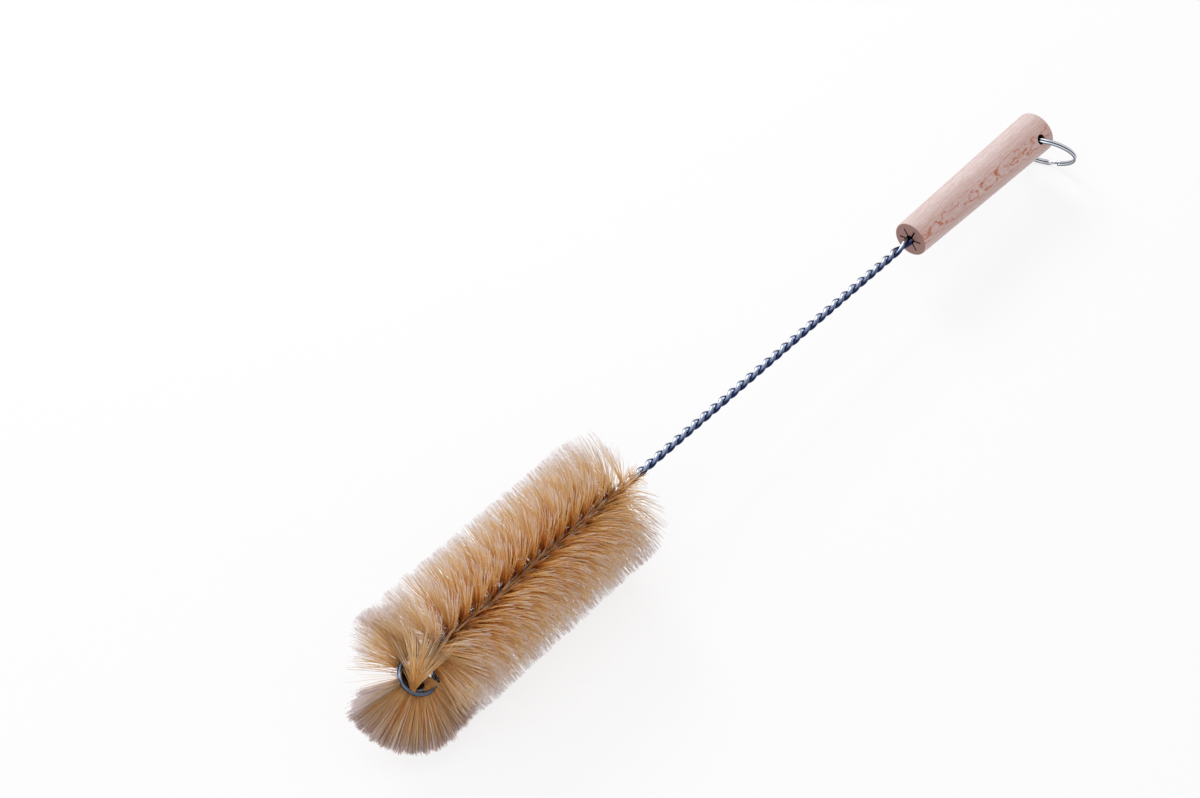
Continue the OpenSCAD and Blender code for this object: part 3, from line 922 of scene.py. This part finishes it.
def wood_material():
    """Turned beech, with darker end grain on its near face, and painted shade in its slits, socket
    and cross hole.
    """
    n = material_nodes("beech")
    own = own_coords(n)
    x, y, z = n.add("SeparateXYZ", Vector=own).outputs
    across = n.add("CombineXYZ", Y=y, Z=z).outputs[0]
    radius = n.vector("LENGTH", across)
    colour, fibre = wood_grain(n, own, across)
    end_grain = n.ramp(fibre, [(0.3, srgb(134, 98, 90)), (0.7, srgb(160, 124, 116))])
    colour = n.mix(n.math("LESS_THAN", x, HANDLE_X + 0.3), colour, end_grain)
    # Painted shade: the slits, the socket and the cross hole's wall are coloured near black.
    colour = n.mix(in_slits(n, x, radius), colour, srgb(56, 30, 22))
    colour = n.mix(in_cross_hole(n, x, radius), colour, srgb(34, 20, 16))
    bump = n.add("Bump", Height=fibre, Strength=0.25, Distance=0.0001)
    shader = n.add("BsdfPrincipled", Base_Color=colour, Roughness=0.5, Normal=bump.outputs[0])
    return n.finish(shader.outputs[0])


# ---------------------------------------------------------------- camera, light and floor

# The camera's direction, lens, and place, in millimetres from the middle of the handle's near
# face.
VIEW_AZIMUTH = -48.87
VIEW_ELEVATION = 48.39
VIEW_LENS = 90.0
VIEW_OFFSET = (-830.83, -534.88, 989.62)

# The lamps: the way to each, its distance and size in metres, and its power in watts.
LAMPS = {
    "key": ((0.35, 0.8, 0.62), 1.3, 0.5, 7.4),
    "top": ((-0.35, 0.1, 0.95), 1.5, 1.0, 3.8),
    "front": ((-0.85, -0.3, 0.5), 1.6, 0.8, 2.2),
}

# The sky, the paper floor and the share of white in it where it is seen directly, and half the
# floor's width in metres.
SKY_COLOUR = (1.0, 0.95, 0.98, 1.0)
SKY_STRENGTH = 0.66
WHITE = (1.0, 1.0, 1.0, 1.0)
PAPER = (0.88, 0.88, 0.88, 1.0)
PAPER_GLOW = 0.8
FLOOR_HALF = 4.0


def view_axes():
    """Right, up and back of the camera."""
    a, e = math.radians(VIEW_AZIMUTH), math.radians(VIEW_ELEVATION)
    right = Vector((math.cos(a), math.sin(a), 0.0))
    back = Vector((math.sin(a) * math.cos(e), -math.cos(a) * math.cos(e), math.sin(e)))
    return right, back.cross(right), back


def make_camera():
    """The camera at the photo's angle, placed from the handle's near face."""
    data = bpy.data.cameras.new("camera")
    data.lens = VIEW_LENS
    data.sensor_width = 36.0
    data.clip_end = 20.0
    camera = bpy.data.objects.new("camera", data)
    right, up, back = view_axes()
    turn = Matrix((right, up, back)).transposed().to_4x4()
    at = Vector(place([HANDLE_X, 0.0, 0.0])) + MM * Vector(VIEW_OFFSET)
    camera.matrix_world = Matrix.Translation(at) @ turn
    bpy.context.scene.collection.objects.link(camera)
    bpy.context.scene.camera = camera


def make_lamp(name, way, distance, size, power):
    """An area lamp that shines on the brush from a direction."""
    data = bpy.data.lights.new(name, "AREA")
    data.shape = "SQUARE"
    data.size = size
    data.energy = power
    lamp = bpy.data.objects.new(name, data)
    way = Vector(way).normalized()
    turn = way.to_track_quat("Z", "Y").to_matrix().to_4x4()
    lamp.matrix_world = Matrix.Translation(way * distance) @ turn
    bpy.context.scene.collection.objects.link(lamp)


def seen_directly(n):
    """1 for rays from the camera, from gloss and through glass, otherwise 0."""
    path = n.add("LightPath")
    seen = n.math("MAXIMUM", path.outputs["Is Camera Ray"], path.outputs["Is Glossy Ray"])
    return n.math("MAXIMUM", seen, path.outputs["Is Transmission Ray"])


def make_world():
    """A soft even sky, which is plain white where it is seen directly."""
    n = Nodes(bpy.data.worlds.new("studio"), "ShaderNodeOutputWorld")
    soft = n.add("Background", Color=SKY_COLOUR, Strength=SKY_STRENGTH)
    white = n.add("Background", Color=WHITE, Strength=1.0)
    bpy.context.scene.world = n.finish(n.blend(seen_directly(n), soft, white))


def make_floor():
    """A pale paper floor, near white where it is seen directly, which keeps the shadow."""
    n = material_nodes("floor")
    paper = n.add("BsdfDiffuse", Color=PAPER)
    white = n.add("Emission", Strength=1.0)
    share = n.math("MULTIPLY", seen_directly(n), PAPER_GLOW)
    material = n.finish(n.blend(share, paper, white))
    material.cycles.emission_sampling = "NONE"
    mesh = bpy.data.meshes.new("floor")
    half = FLOOR_HALF
    mesh.from_pydata([(-half, -half, 0), (half, -half, 0), (half, half, 0), (-half, half, 0)], [],
                     [(0, 1, 2, 3)])
    mesh.materials.append(material)
    floor = bpy.data.objects.new("floor", mesh)
    bpy.context.scene.collection.objects.link(floor)


bpy.context.scene.view_settings.view_transform = "Standard"
make_camera()
make_world()
make_floor()
for lamp_name, lamp in LAMPS.items():
    make_lamp(lamp_name, *lamp)

make_wire(wire_material())
make_ring()
make_bristles(bristle_material())
handle = frame["nodes"]["handle"]
handle.data.materials[0] = wood_material()
